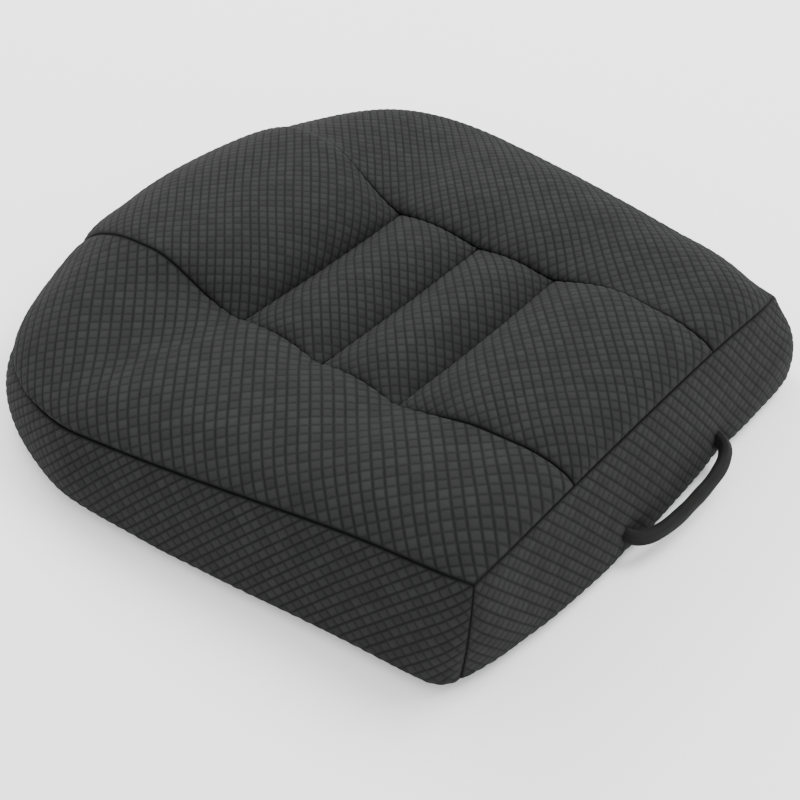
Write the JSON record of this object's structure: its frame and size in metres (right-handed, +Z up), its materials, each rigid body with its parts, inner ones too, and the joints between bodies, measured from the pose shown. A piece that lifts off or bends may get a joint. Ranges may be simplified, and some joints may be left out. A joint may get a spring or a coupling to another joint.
{
  "type": "booster seat",
  "caption": "Contoured foam height-booster cushion for a car seat, with a quilted cover, puffed side bolsters, transverse grooves, a rolled front edge and a fabric carrying handle.",
  "frame": {"origin": "on the flat underside, half way across the cushion and half way along its body, which is the underside mount", "axes": "+Z up, +Y towards the rounded front edge, +X to the sitter's right"},
  "size_m": [0.4566, 0.478, 0.0977],
  "materials": {
    "quilted_fabric": "charcoal knit laminated to thin foam, embossed in a small diamond lattice",
    "strap_fabric": "smooth charcoal knit, rolled and sewn",
    "nonslip_fabric": "black fabric with small rubber grip dots",
    "zip_tape": "woven polyester tape",
    "zip_coil": "nylon coil",
    "zip_metal": "black satin enamel",
    "listing_tape": "plain white woven strip",
    "foam_firm": "firm grey open-cell polyurethane foam",
    "foam_soft": "soft cream open-cell polyurethane foam"
  },
  "bodies": {
    "cushion": {"top_panel_rear": "quilted_fabric", "top_roll_rear": "quilted_fabric", "top_roll_front": "quilted_fabric", "top_panel_front": "quilted_fabric", "bolster_left": "quilted_fabric", "bolster_right": "quilted_fabric", "boxing_rear": "quilted_fabric", "boxing_left": "quilted_fabric", "boxing_right": "quilted_fabric", "boxing_front_upper": "quilted_fabric", "boxing_front_lower": "quilted_fabric", "handle_end_left": "strap_fabric", "handle_end_right": "strap_fabric", "bottom_panel": "nonslip_fabric", "zipper_tape_upper": "zip_tape", "zipper_tape_lower": "zip_tape", "zipper_coil_upper": "zip_coil", "zipper_coil_lower": "zip_coil", "zipper_stops": "zip_metal", "groove_listing_rear": "listing_tape", "groove_listing_middle": "listing_tape", "groove_listing_front": "listing_tape", "seam_listing_left": "listing_tape", "seam_listing_right": "listing_tape", "foam_base": "foam_firm", "foam_top": "foam_soft"},
    "handle": {"handle_strap": "strap_fabric"},
    "zip_slider": {"zipper_slider": "zip_metal"},
    "zip_pull": {"zipper_pull": "zip_metal"}
  },
  "joints": [
    {"name": "handle_swing", "type": "hinge", "parent": "cushion", "child": "handle", "pos_m": [0.016, -0.222, 0.024], "axis": [-1, 0, 0], "range_deg": [-50, 75]},
    {"name": "zip_travel", "type": "hinge", "parent": "cushion", "child": "zip_slider", "pos_m": [0, -0.0575, 0.022], "axis": [0, 0, 1], "range_deg": [0, 68]},
    {"name": "pull_flip", "type": "hinge", "parent": "zip_slider", "child": "zip_pull", "pos_m": [0.16795, 0.19149, 0.02294], "axis": [0.1635, 0.2424, -0.9563], "range_deg": [0, 170]}
  ]
}
